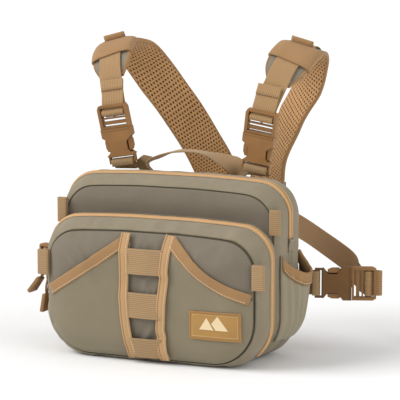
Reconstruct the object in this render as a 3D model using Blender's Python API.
"""Binocular harness pack: a zipped chest pack with a zipped front pouch, carried on padded
shoulder straps and waist straps that clip to it with four side-release buckles.

The script works in millimetres and add_part turns them into metres.  +Z is up, the front of
the pack faces -Y, +X is the right of someone looking at the front, and the origin is the
middle of the flat bottom that the pack rests on."""
import math

import bmesh
import bpy
from mathutils import Matrix, Vector

MM = 0.001                 # one millimetre in metres
GAP = 0.3                  # clearance between pieces that touch

# Fabric shells: sections across the pack, each (y, half width, bottom, top)
WALL = 2.6
POUCH_SECTIONS = [(-52.0, 109.0, 3.0, 126.5), (-46.0, 113.0, 1.0, 131.0),
                  (-30.0, 117.5, 0.0, 137.5), (-12.4, 113.0, 0.0, 136.0)]
PANEL_INSETS = [(45.0, -61.0), (22.0, -58.5)]      # the bulge of the pouch's front panel
MAIN_SECTIONS = [(-12.0, 111.0, 0.0, 165.0), (-6.0, 115.0, 0.0, 170.0),
                 (10.0, 119.5, 0.0, 175.0), (28.0, 119.5, 0.0, 174.5), (44.6, 113.0, 0.0, 171.0)]
LOW_RADIUS = 44.0
HIGH_RADIUS = 31.0
CROWN = 2.5

# Zips: the plane of each coil, where it ends, and the height at which its flap folds
POUCH_ZIP_Y = -30.0
POUCH_FOLD_Z = 27.5
MAIN_ZIP_Y = 10.0
MAIN_ZIP_END_Z = 117.0
MAIN_FOLD_Z = 150.0
POUCH_HINGE = (0, -66.5, POUCH_FOLD_Z)             # in front of the thickest webbing
MAIN_HINGE = (0, -12.0, MAIN_FOLD_Z)
ZIP_HALF = 2.5
ZIP_PROUD = 0.6
ZIP_DEPTH = 1.8
UPPER_SLIDER_Z = 85.0
LOWER_SLIDER_Z = 71.5
MAIN_SLIDER_Z = 128.0

# Webbing and side-release buckles for 25 mm webbing
WEB = 25.0
WEB_THICK = 1.5
BUCKLE_HALF = 16.5
BUCKLE_THICK = 9.0
FEMALE_LENGTH = 36.0
MALE_LENGTH = 24.0
ARM_PIVOT = 12.2
BAR_U = 15.9               # the bar that the webbing turns round, from the mouth
BAR_HALF = 1.4

# Shoulder pads: centre line and width direction from the front end, over the shoulder, to the yoke
PAD_WIDTH = 43.0
PAD_THICK = 6.0
PAD_STATIONS = [((90, 49, 264), (1.0, 0.05, -0.10)), ((94, 56, 277), (0.97, 0.05, -0.20)),
                ((99, 70, 290), (0.96, 0.05, -0.25)), ((101, 92, 296), (0.93, 0.0, -0.20)),
                ((96, 119, 286), (0.88, -0.35, -0.10)), ((83, 145, 255), (0.81, -0.59, 0.0)),
                ((61, 157, 220), (0.80, -0.60, 0.0)), ((44, 167, 188), (0.75, -0.66, 0.0)),
                ((31, 173, 160), (0.93, -0.36, 0.0)), ((24.5, 175, 133), (1.0, 0.0, 0.0))]
STRAP_LIFT = 5.2           # shoulder webbing above the middle of the pad
PAD_STEPS = 4              # sections made between two pad stations
STRAP_END = 8 * PAD_STEPS + 1
KEEPER = (6, 11)           # sections of the pad under the keeper
WRAP_THICK = 1.3           # webbing turned tightly round a bar or through a slot
WAIST_STATIONS = [(14, 178.3, 117), (40, 168, 115), (75, 147, 109), (120, 114, 96),
                  (150, 95, 84.5), (158, 88.5, 76.5), (165.5, 82, 71), (169.5, 77.8, 70),
                  (172.8, 73.9, 70)]

# Trim on the front panel: webbing tapes, bindings and the sheets of the slip pockets
TAPE_WIDTH = 9.5
TAPE_THICK = 1.2
TAPE_LIFT = 4.6
ROW_LIFT = 5.5
BINDING_WIDTH = 10.5
BINDING_THICK = 1.4
BINDING_LIFT = 3.1
SHEET_LIFTS = (2.7, 1.8)
PATCH_LIFTS = (4.4, 3.2)

# Stretch side pocket: from front to back it starts at a depth and runs along the wall
POCKET_START_Y = -6.0
POCKET_LENGTH = 50.0
POCKET_FLOOR_Z = 24.0
POCKET_SEAM_Z = 102.0
POCKET_DIP = 18.0          # how far the mouth sags between its seams
POCKET_BULGE = 13.5
POCKET_CLOTH = 1.8
POCKET_GAP = 1.5           # clearance to the wall behind it
POCKET_STEPS = 9

# Grab handle: right half, centre line and width direction
HANDLE_WIDTH = 19.0
HANDLE_THICK = 1.6
HANDLE_HALF = [((56.5, 46.3, 171.5), (1, 0, 0)), ((51.5, 46.3, 178.0), (0.9, 0.05, 0.43)),
               ((38, 43, 186.0), (0.5, 0.8, 0.3)), ((19, 39.5, 193.0), (0.05, 1, 0))]
HANDLE_TOP = ((0, 38.5, 195), (-0.1, 1, 0))

FABRIC = (0.27, 0.25, 0.19)
COYOTE = (0.46, 0.31, 0.17)
BROWN = (0.30, 0.17, 0.08)
GOLD = (0.55, 0.36, 0.16)


def clear_scene():
    for old in list(bpy.data.objects):
        bpy.data.objects.remove(old, do_unlink=True)


def finish(name, colour, roughness, metallic=0.0):
    """A plain material for one piece."""
    made = bpy.data.materials.new(name)
    made.use_nodes = True
    shader = made.node_tree.nodes["Principled BSDF"]
    shader.inputs["Base Color"].default_value = (*colour, 1.0)
    shader.inputs["Roughness"].default_value = roughness
    shader.inputs["Metallic"].default_value = metallic
    return made


def add_part(name, shape, colour, roughness=0.8, pivot=(0, 0, 0)):
    """Put a finished shape in the scene in metres, with its origin on its joint."""
    pivot = Vector(pivot)
    bmesh.ops.translate(shape, verts=shape.verts, vec=-pivot)
    bmesh.ops.scale(shape, verts=shape.verts, vec=(MM, MM, MM))
    mesh = bpy.data.meshes.new(name)
    shape.to_mesh(mesh)
    shape.free()
    made = bpy.data.objects.new(name, mesh)
    made.location = pivot * MM
    made.data.materials.append(finish(name, colour, roughness))
    bpy.context.collection.objects.link(made)
    return made


def combined(shape, tool, operation):
    """One shape after a Boolean with another; both are used up."""
    holders = []
    for source in (shape, tool):
        mesh = bpy.data.meshes.new("working")
        source.to_mesh(mesh)
        source.free()
        holder = bpy.data.objects.new("working", mesh)
        bpy.context.collection.objects.link(holder)
        holders.append(holder)
    step = holders[0].modifiers.new("join", "BOOLEAN")
    step.operation = operation
    step.object = holders[1]
    bpy.context.view_layer.update()
    result = bmesh.new()
    result.from_object(holders[0], bpy.context.evaluated_depsgraph_get())
    for holder in holders:
        bpy.data.objects.remove(holder, do_unlink=True)
    bmesh.ops.remove_doubles(result, verts=result.verts, dist=0.001)
    bmesh.ops.dissolve_degenerate(result, edges=result.edges, dist=0.001)
    return result


def cut(shape, tool):
    return combined(shape, tool, "DIFFERENCE")


def joined(shape, tool):
    return combined(shape, tool, "UNION")


def mirrored(shape):
    """The same shape on the left of the pack."""
    bmesh.ops.scale(shape, verts=shape.verts, vec=(-1, 1, 1))
    bmesh.ops.reverse_faces(shape, faces=shape.faces)
    return shape


def loft(rings, closed=False):
    """A skin over rings of equal length, capped at both ends unless it closes on itself."""
    shape = bmesh.new()
    rows = [[shape.verts.new(point) for point in ring] for ring in rings]
    pairs = list(zip(rows, rows[1:]))
    if closed:
        pairs.append((rows[-1], rows[0]))
    count = len(rows[0])
    for first, second in pairs:
        for i in range(count):
            j = (i + 1) % count
            shape.faces.new((first[i], first[j], second[j], second[i]))
    if not closed:
        shape.faces.new(list(reversed(rows[0])))
        shape.faces.new(rows[-1])
    bmesh.ops.recalc_face_normals(shape, faces=shape.faces)
    return shape


def box(low, high):
    corners = [(low[0], low[1]), (high[0], low[1]), (high[0], high[1]), (low[0], high[1])]
    return loft([[(x, y, z) for x, y in corners] for z in (low[2], high[2])])


def outline(y, half, bottom, top, grow=0.0):
    """The rounded section of the pack at one depth, grown outwards by a margin."""
    half, bottom, top = half + grow, bottom - grow, top + grow
    low, high = LOW_RADIUS + grow, HIGH_RADIUS + grow
    points = []
    for centre_x, centre_z, radius, start, steps in (
            (half - low, bottom + low, low, -90, 6),
            (half - high, top - CROWN - high, high, 0, 5),
            (high - half, top - CROWN - high, high, 90, 5),
            (low - half, bottom + low, low, 180, 6)):
        for i in range(steps + 1):
            angle = math.radians(start + 90 * i / steps)
            x = centre_x + radius * math.cos(angle)
            z = centre_z + radius * math.sin(angle)
            points.append((x, y, z))
        if start == 0:
            points += [(x, y, top) for x in (half / 3, 0.0, -half / 3)]
    return points


def pouch_panel_y(x, z):
    """Depth of the bulged front panel of the pouch, from the distance to its seam."""
    y, half, bottom, top = POUCH_SECTIONS[0]
    radius = LOW_RADIUS if z < (bottom + top) / 2 else HIGH_RADIUS
    across = abs(x) - (half - radius)
    along = (bottom + radius - z) if z < (bottom + top) / 2 else (z - (top - radius))
    if across > 0 and along > 0:
        inset = radius - math.hypot(across, along)
    else:
        inset = radius - max(across, along)
    marks = [(0.0, y)] + [(d, depth) for d, depth in reversed(PANEL_INSETS)]
    for (d0, y0), (d1, y1) in zip(marks, marks[1:]):
        if inset <= d1:
            return y0 + (y1 - y0) * max(inset - d0, 0.0) / (d1 - d0)
    return marks[-1][1]


def inset_ring(inset, y):
    """The front seam's outline drawn in towards the middle of the panel."""
    _, half, bottom, top = POUCH_SECTIONS[0]
    middle = (bottom + top) / 2
    shrink_x = 1 - inset / half
    shrink_z = 1 - inset / (middle - bottom)
    return [(x * shrink_x, y, middle + (z - middle) * shrink_z)
            for x, _, z in outline(y, half, bottom, top)]


def pouch_shell():
    """Gusset and front panel of the pouch as one hollow shell, open at the back."""
    outer = [inset_ring(inset, y) for inset, y in PANEL_INSETS]
    outer += [outline(*section) for section in POUCH_SECTIONS]
    inner = [inset_ring(inset + 2 * WALL, y + WALL) for inset, y in PANEL_INSETS]
    y, half, bottom, top = POUCH_SECTIONS[0]
    inner.append(outline(y + WALL, half, bottom, top, -1.4 * WALL))
    inner += [outline(*section, -WALL) for section in POUCH_SECTIONS[1:]]
    _, half, bottom, top = POUCH_SECTIONS[-1]
    inner.append(outline(POUCH_SECTIONS[-1][0] + WALL, half, bottom, top, -WALL))
    return cut(loft(outer), loft(inner))


def main_shell():
    """Main compartment with its front and back walls."""
    outer = loft([outline(*section) for section in MAIN_SECTIONS])
    first, last = MAIN_SECTIONS[0], MAIN_SECTIONS[-1]
    sections = [(first[0] + WALL, *first[1:])] + MAIN_SECTIONS[1:-1] + [(last[0] - WALL, *last[1:])]
    return cut(outer, loft([outline(*section, -WALL) for section in sections]))


def zip_band(y_low, y_high, section, fold_z):
    """Half of a zip, coil and tape, round the pack above its lower ends."""
    rings = [outline(y_low, *section, ZIP_PROUD), outline(y_high, *section, ZIP_PROUD),
             outline(y_high, *section, -ZIP_DEPTH), outline(y_low, *section, -ZIP_DEPTH)]
    return cut(loft(rings, closed=True), box((-200, -100, -50), (200, 100, fold_z)))


def smooth_path(points, steps):
    """Points along a Catmull-Rom curve through the given ones."""
    points = [Vector(p) for p in points]
    ends = [2 * points[0] - points[1]] + points + [2 * points[-1] - points[-2]]
    made = []
    for i in range(1, len(ends) - 2):
        a, b, c, d = ends[i - 1:i + 3]
        for k in range(steps):
            t = k / steps
            made.append(0.5 * (2 * b + (c - a) * t + (2 * a - 5 * b + 4 * c - d) * t * t
                               + (3 * b - a - 3 * c + d) * t ** 3))
    return made + [points[-1]]


def frames_along(points, sides):
    """Centre, width direction and outward direction at each point of a strap."""
    made = []
    last = len(points) - 1
    for i, point in enumerate(points):
        tangent = (points[min(i + 1, last)] - points[max(i - 1, 0)]).normalized()
        side = (sides[i] - tangent * sides[i].dot(tangent)).normalized()
        made.append((point, side, side.cross(tangent).normalized()))
    return made


def strap_frames(stations, steps=PAD_STEPS):
    centres = smooth_path([s[0] for s in stations], steps)
    sides = smooth_path([s[1] for s in stations], steps)
    return frames_along(centres, sides)


def section_ring(frame, half_width, low, high):
    centre, side, out = frame
    return [centre + side * a + out * b for a, b in
            ((-half_width, low), (0, low), (half_width, low),
             (half_width, high), (0, high), (-half_width, high))]


def strap(frames, width, thickness, lift=0.0):
    """A flat strap along a path, lifted off it by a distance."""
    half = thickness / 2
    return loft([section_ring(f, width / 2, lift - half, lift + half) for f in frames])


def band(frames, half_width, low, high, thickness):
    """A closed webbing sleeve round a strap."""
    outer = [section_ring(f, half_width + thickness, low - thickness, high + thickness) for f in frames]
    inner = [section_ring(f, half_width, low, high) for f in frames]
    return loft(outer + inner[::-1], closed=True)


def fold_tab(x_root, x_fold, y_near, y_far, z_low, z_high):
    """A short piece of webbing folded in half, its fold pointing out."""
    half = (y_near - y_far) / 2
    middle = (y_near + y_far) / 2
    outer = []
    inner = []
    for i in range(5):
        angle = math.radians(90 - 45 * i)
        outer.append((x_fold - half + half * math.cos(angle), middle + half * math.sin(angle)))
        inner.append((x_fold - half + (half - WEB_THICK) * math.cos(angle),
                      middle + (half - WEB_THICK) * math.sin(angle)))
    hairpin = [(x_root, y_near)] + outer + [(x_root, y_far), (x_root, y_far + WEB_THICK)]
    hairpin += inner[::-1] + [(x_root, y_near - WEB_THICK)]
    return loft([[(x, y, z) for x, y in hairpin] for z in (z_low, z_high)])


class BuckleFrame:
    """Place of a buckle: u along it towards the male half, n out of its face, v across it."""

    def __init__(self, female_end, male_end, face):
        start, stop = Vector(female_end), Vector(male_end)
        self.u = (stop - start).normalized()
        self.n = (Vector(face) - self.u * Vector(face).dot(self.u)).normalized()
        self.v = self.n.cross(self.u)
        self.mouth = start + self.u * FEMALE_LENGTH

    def at(self, u, n, v=0.0):
        return self.mouth + self.u * u + self.n * n + self.v * v

    def place(self, shape):
        matrix = Matrix((self.v, self.n, self.u)).transposed().to_4x4()
        matrix.translation = self.mouth
        bmesh.ops.transform(shape, matrix=matrix, verts=shape.verts)
        return shape


def plate(points, thickness):
    """A flat plate from an outline in (v, u), centred on the buckle's mid plane."""
    return loft([[(v, n, u) for v, u in points] for n in (-thickness / 2, thickness / 2)])


def buckle_female():
    """Socket half: two faces over a cavity, waisted where the arms show, and a webbing slot."""
    half = BUCKLE_HALF
    side = [(half, -0.0), (half, -8.5), (12.5, -11.5), (9.5, -14.0), (9.5, -22.5),
            (11.5, -25.0), (14.6, -27.5), (14.6, -36.0)]
    shape = plate(side + [(-v, u) for v, u in reversed(side)], BUCKLE_THICK)
    shape = cut(shape, box((-15.3, -2.9, -25.5), (15.3, 2.9, 2.0)))
    for low, high in ((-10.0, -2.4), (2.4, 10.0)):
        shape = cut(shape, box((-20.0, low, -40.0), (20.0, high, -28.3)))
    return cut(shape, box((-12.9, -8.0, -33.0), (12.9, 8.0, -29.4)))


def buckle_male():
    """Ladder-lock frame with its bars and the middle tongue that guides it into the socket."""
    half = BUCKLE_HALF
    rim = [(half, GAP), (half, 20.5), (half - 2.0, MALE_LENGTH)]
    shape = plate(rim + [(-v, u) for v, u in reversed(rim)], 6.4)
    shape = cut(shape, box((-13.3, -8.0, 2.4), (13.3, 8.0, 21.4)))
    shape = cut(shape, box((-13.3, -4.0, 21.0), (13.3, -0.2, 30.0)))
    for low, high in ((BAR_U - BAR_HALF, BAR_U + BAR_HALF), (9.6, 11.2), (4.2, 7.6)):
        shape = joined(shape, box((-14.5, -BAR_HALF, low), (14.5, BAR_HALF, high)))
    return joined(shape, box((-4.0, -2.0, -19.0), (4.0, 2.0, 1.5)))


def buckle_arm(sign):
    """One springy side arm with its finger pad and catch."""
    points = [(11.2, -0.6), (13.2, -0.6), (13.2, -10.0), (15.0, -12.5), (15.0, -19.5),
              (13.2, -23.5), (10.6, -23.5), (10.6, -12.5), (11.2, -10.0)]
    return plate([(v * sign, u) for v, u in points], 5.0)


def wrap_frames(buckle, path):
    """Webbing turned round the bar of a male half, given as (u, n) points."""
    points = [buckle.at(u, n) for u, n in path]
    return frames_along(points, [buckle.v] * len(points))


TAIL_RUN = [(46, -12.3), (38, -8.4), (30, -4.5), (25.5, -2.4), (22, -1.5), (19.7, 0.2)]
BAR_TURN = [(17.9, 2.1), (BAR_U, 2.8), (13.9, 2.1), (13.0, 0.0), (13.9, -2.1), (BAR_U, -2.8), (19.5, -3.1)]


def build_pack():
    far = 300
    opened = box((-far, -far, POUCH_FOLD_Z - GAP), (far, POUCH_ZIP_Y + ZIP_HALF + GAP, far))
    pouch = cut(pouch_shell(), opened)
    add_part("front_pouch_base", pouch, FABRIC)
    lid = cut(pouch_shell(), box((-far, -far, -far), (far, far, POUCH_FOLD_Z + GAP)))
    lid = cut(lid, box((-far, POUCH_ZIP_Y - ZIP_HALF - GAP, -far), (far, far, far)))
    add_part("front_pouch_lid", lid, FABRIC, pivot=POUCH_HINGE)

    body = cut(main_shell(), box((-far, -far, MAIN_FOLD_Z - GAP), (far, MAIN_ZIP_Y + ZIP_HALF + GAP, far)))
    body = cut(body, box((-far, MAIN_ZIP_Y - GAP / 2, MAIN_ZIP_END_Z - GAP),
                         (far, MAIN_ZIP_Y + ZIP_HALF + GAP, far)))
    add_part("main_body", body, FABRIC)
    lid = cut(main_shell(), box((-far, -far, -far), (far, far, MAIN_FOLD_Z + GAP)))
    lid = cut(lid, box((-far, MAIN_ZIP_Y - ZIP_HALF - GAP, -far), (far, far, far)))
    add_part("main_lid", lid, FABRIC, pivot=MAIN_HINGE)

    section = POUCH_SECTIONS[2][1:]
    add_part("front_zip_lid_tape", zip_band(POUCH_ZIP_Y - ZIP_HALF, POUCH_ZIP_Y - GAP / 2, section,
                                            POUCH_FOLD_Z + GAP), GOLD, pivot=POUCH_HINGE)
    add_part("front_zip_base_tape", zip_band(POUCH_ZIP_Y + GAP / 2, POUCH_ZIP_Y + ZIP_HALF, section,
                                             POUCH_FOLD_Z + GAP), GOLD)
    section = MAIN_SECTIONS[2][1:]
    add_part("main_zip_lid_tape", zip_band(MAIN_ZIP_Y - ZIP_HALF, MAIN_ZIP_Y - GAP / 2, section,
                                           MAIN_FOLD_Z + GAP), GOLD, pivot=MAIN_HINGE)
    add_part("main_zip_body_tape", zip_band(MAIN_ZIP_Y + GAP / 2, MAIN_ZIP_Y + ZIP_HALF, section,
                                            MAIN_ZIP_END_Z + GAP), GOLD)

    back = [outline(y, 108.0 - edge, 6.0 + edge, 166.0 - edge) for y, edge in
            ((45.0, 0.0), (50.0, 0.0), (53.0, 3.0))]
    add_part("back_panel", loft(back), FABRIC)
    sleeve = [outline(y, 100.0, 8.0, 128.0) for y in (38.2, 40.2)]
    add_part("inner_sleeve", loft(sleeve), FABRIC)


def panel_point(x, z, lift):
    """A point standing off the pouch's front panel."""
    return Vector((x, pouch_panel_y(x, z) - lift, z))


def panel_strip(points, width, thickness, lift, steps=2):
    """A flat strip laid on the front panel along (x, z) points."""
    path = smooth_path([panel_point(x, z, lift) for x, z in points], steps)
    flats = []
    last = len(path) - 1
    for i in range(len(path)):
        along = path[min(i + 1, last)] - path[max(i - 1, 0)]
        flats.append(Vector((-along.z, 0, along.x)).normalized())
    return strap(frames_along(path, flats), width, thickness)


def slip_pocket(edge, binding):
    """A slanted slip pocket with the binding along its mouth, down to the pouch's fold."""
    rings = []
    for x, top in edge:
        low = POUCH_FOLD_Z + 1.0
        corner = LOW_RADIUS - (POUCH_SECTIONS[0][1] - abs(x)) + 3.0
        if corner > 0:
            low = max(low, LOW_RADIUS + 4.0 - math.sqrt(LOW_RADIUS ** 2 - corner ** 2))
        heights = [low + (top - low) * k / 3 for k in range(4)]
        rings.append([panel_point(x, z, SHEET_LIFTS[0]) for z in heights]
                     + [panel_point(x, z, SHEET_LIFTS[1]) for z in reversed(heights)])
    return joined(loft(rings), panel_strip(binding, BINDING_WIDTH, BINDING_THICK, BINDING_LIFT))


def ladder_row(height, width=WEB):
    """One stitched row of webbing across the two tapes."""
    path = [panel_point(x, height, ROW_LIFT) for x in (-24, -8, 10, 26)]
    slope = panel_point(0, height + 10, 0) - panel_point(0, height - 10, 0)
    return strap(frames_along(path, [slope] * len(path)), width, WEB_THICK)


def build_front():
    hinge = POUCH_HINGE
    left_edge = [(-100, 62), (-90, 68), (-62, 85), (-30, 105)]
    left_binding = [(-100, 68), (-62, 91), (-27, 113)]
    right_edge = [(32, 105), (46, 95), (62, 82), (82, 71), (100, 64)]
    right_binding = [(29, 114), (46, 101), (62, 88), (82, 77), (103, 70)]
    add_part("slip_pocket_left", slip_pocket(left_edge, left_binding), FABRIC, pivot=hinge)
    add_part("slip_pocket_right", slip_pocket(right_edge, right_binding), FABRIC, pivot=hinge)

    def tape(points):
        return panel_strip(points, TAPE_WIDTH, TAPE_THICK, TAPE_LIFT)

    ladder = tape([(-21.5, 122), (-19.5, 90), (-18.5, 60), (-17.5, 29)])
    right = tape([(23.5, 122), (21.5, 90), (20.5, 60), (19.5, 29)])
    for piece in (right, ladder_row(99.0), ladder_row(57.0)):
        ladder = joined(ladder, piece)
    add_part("webbing_ladder", ladder, COYOTE, pivot=hinge)
    foot = ladder_row(16.0, 20.0)
    foot = joined(foot, tape([(-17.3, 26.5), (-16, 7)]))
    foot = joined(foot, tape([(19.3, 26.5), (18, 7)]))
    add_part("webbing_ladder_foot", foot, COYOTE)

    patch = []
    for x in (47, 60, 72, 85, 97):
        heights = (30.5, 39.0, 47.0, 55.5)
        patch.append([panel_point(x, z, PATCH_LIFTS[0]) for z in heights]
                     + [panel_point(x, z, PATCH_LIFTS[1]) for z in reversed(heights)])
    add_part("patch", loft(patch), GOLD, pivot=hinge)

    for side, name in ((1, "right"), (-1, "left")):
        tab = fold_tab(108.5, 120.5, -53.4, -57.6, 78.0, 103.0)
        rear = fold_tab(109.0, 119.5, -13.0, -17.2, 125.0, 149.0)
        if side < 0:
            tab, rear = mirrored(tab), mirrored(rear)
        add_part("pouch_loop_" + name, tab, COYOTE, pivot=hinge)
        add_part("main_loop_" + name, rear, COYOTE)


def build_zip_pull(name, surface_x, y, z, swing):
    """A slider on the left of a zip, with a cord and a moulded tab hanging from its bridge."""
    near = surface_x - 0.4
    slider = box((near - 3.0, y - 4.5, z - 6.0), (near, y + 4.5, z + 6.0))
    slider = joined(slider, box((near - 6.0, y - 1.5, z - 3.5), (near - 2.5, y + 1.5, z + 3.5)))
    add_part(name + "_slider", slider, BROWN, 0.5, pivot=(near, y, z))
    pivot = Vector((near - 4.8, y, z - 4.6))
    tab = loft([[(x, -6.0, -13.0), (x, 6.0, -13.0), (x, 8.2, -31.0), (x, -8.2, -31.0)]
                for x in (-2.1, 2.1)])
    pull = joined(tab, box((-1.0, -2.6, -14.0), (1.0, 2.6, 0.0)))
    turn = Matrix.Translation(pivot) @ Matrix.Rotation(math.radians(swing), 4, "Y")
    bmesh.ops.transform(pull, matrix=turn, verts=pull.verts)
    add_part(name + "_pull", pull, COYOTE, 0.6, pivot=pivot)


def side_surface_x(y, z):
    """Half width of the main compartment at a depth and height below its top corners."""
    for (y0, h0, *_), (y1, h1, *_) in zip(MAIN_SECTIONS, MAIN_SECTIONS[1:]):
        if y <= y1:
            half = h0 + (h1 - h0) * (y - y0) / (y1 - y0)
            break
    if z < LOW_RADIUS:
        half -= LOW_RADIUS - math.sqrt(LOW_RADIUS ** 2 - (LOW_RADIUS - z) ** 2)
    return half


def side_pocket():
    """Stretch pocket on the right side, gathered at its foot and bulging at its mouth."""
    rings = []
    for i in range(POCKET_STEPS + 1):
        s = i / POCKET_STEPS
        y = POCKET_START_Y + POCKET_LENGTH * s
        top = POCKET_SEAM_Z - POCKET_DIP * math.sin(math.pi * s) ** 0.8
        bulge = POCKET_BULGE * math.sin(math.pi * s ** 1.25)
        outer, inner = [], []
        for k in range(5):
            z = POCKET_FLOOR_Z + (top - POCKET_FLOOR_Z) * k / 4
            x = side_surface_x(y, z) + POCKET_GAP + bulge * (k / 4) ** 0.7
            outer.append((x + POCKET_CLOTH, y, z))
            inner.append((x, y, z))
        rings.append(outer + inner[::-1])
    return loft(rings)


def build_sides():
    build_zip_pull("front_zip_upper", -118.1, POUCH_ZIP_Y, UPPER_SLIDER_Z, 36.0)
    build_zip_pull("front_zip_lower", -118.1, POUCH_ZIP_Y, LOWER_SLIDER_Z, 6.5)
    build_zip_pull("main_zip", -120.1, MAIN_ZIP_Y, MAIN_SLIDER_Z, 8.0)
    add_part("side_pocket_right", side_pocket(), FABRIC)
    add_part("side_pocket_left", mirrored(side_pocket()), FABRIC)

    other = [((-x, y, z), (-sx, sy, -sz)) for (x, y, z), (sx, sy, sz) in reversed(HANDLE_HALF)]
    stations = HANDLE_HALF + [HANDLE_TOP] + other
    add_part("grab_handle", strap(strap_frames(stations), HANDLE_WIDTH, HANDLE_THICK), COYOTE)


def build_buckle(name, buckle, flip):
    """The four pieces of one buckle; flip makes the one on the left."""
    def side(shape):
        return mirrored(shape) if flip else shape

    def point(where):
        return Vector((-where.x, where.y, where.z)) if flip else where

    add_part(name + "_female", side(buckle.place(buckle_female())), BROWN, 0.45)
    add_part(name + "_male", side(buckle.place(buckle_male())), BROWN, 0.45,
             pivot=point(buckle.at(0, 0)))
    for sign, arm in ((1, "arm_a"), (-1, "arm_b")):
        pivot = point(buckle.at(0, 0, sign * ARM_PIVOT))
        add_part(name + "_" + arm, side(buckle.place(buckle_arm(sign))), BROWN, 0.45, pivot=pivot)


def build_harness():
    shoulder = BuckleFrame((72, 38, 180), (81.5, 31, 237.5), (0, -1, 0))
    waist = BuckleFrame((129, 51, 70), (185.4, 71.5, 70), (0.342, -0.94, 0))
    end_turn = [(-38.5, 3.3), (-35.5, 3.6), (-32.6, 3.3), (-31.2, 1.4), (-31.2, -1.4),
                (-32.6, -3.3), (-35.5, -3.6)]
    pad_frames = strap_frames(PAD_STATIONS)
    for flip, name in ((False, "right"), (True, "left")):
        def side(shape):
            return mirrored(shape) if flip else shape

        build_buckle("shoulder_buckle_" + name, shoulder, flip)
        build_buckle("waist_buckle_" + name, waist, flip)

        pad = strap(pad_frames, PAD_WIDTH, PAD_THICK)
        add_part("shoulder_pad_" + name, side(pad), FABRIC, 0.9)

        lower = [(shoulder.at(u, -4.6 - STRAP_LIFT), -shoulder.v, shoulder.n) for u in (11.0, 26.0)]
        web = strap(lower + pad_frames[:STRAP_END], WEB, WEB_THICK, STRAP_LIFT)
        add_part("shoulder_strap_" + name, side(web), COYOTE)

        keeper = band(pad_frames[KEEPER[0]:KEEPER[1]], PAD_WIDTH / 2 + 0.6, -PAD_THICK / 2 - 0.5,
                      STRAP_LIFT + 1.3, 1.4)
        add_part("strap_keeper_" + name, side(keeper), COYOTE)

        tail = wrap_frames(shoulder, TAIL_RUN + BAR_TURN)
        mouth = shoulder.mouth
        add_part("shoulder_tail_" + name, side(strap(tail, WEB, WRAP_THICK)), COYOTE,
                 pivot=(-mouth.x if flip else mouth.x, mouth.y, mouth.z))

        anchor = wrap_frames(shoulder, end_turn)
        points = [centre for centre, _, _ in anchor] + [Vector((71.9, 43.0, 173.6))]
        sides = [shoulder.v] * len(points)
        add_part("shoulder_anchor_" + name, side(strap(frames_along(points, sides), WEB, WRAP_THICK)), COYOTE)
        anchor = wrap_frames(waist, end_turn)
        points = [centre for centre, _, _ in anchor] + [Vector((118, 51, 69.5)), Vector((109, 49.5, 69))]
        sides = [waist.v] * len(points)
        add_part("waist_anchor_" + name, side(strap(frames_along(points, sides), WEB, WRAP_THICK)), COYOTE)

        upright = Vector((0, 0, 1))
        path = smooth_path(WAIST_STATIONS, 2)
        web = strap(frames_along(path, [upright] * len(path)), WEB, WEB_THICK)
        add_part("waist_strap_" + name, side(web), COYOTE)

    corner = [(-46, 150), (46, 150), (46, 132), (36, 106), (-36, 106), (-46, 132)]
    add_part("yoke", loft([[(x, y, z) for x, z in corner] for y in (181.2, 184.7)]), FABRIC)


clear_scene()
build_pack()
build_front()
build_sides()
build_harness()
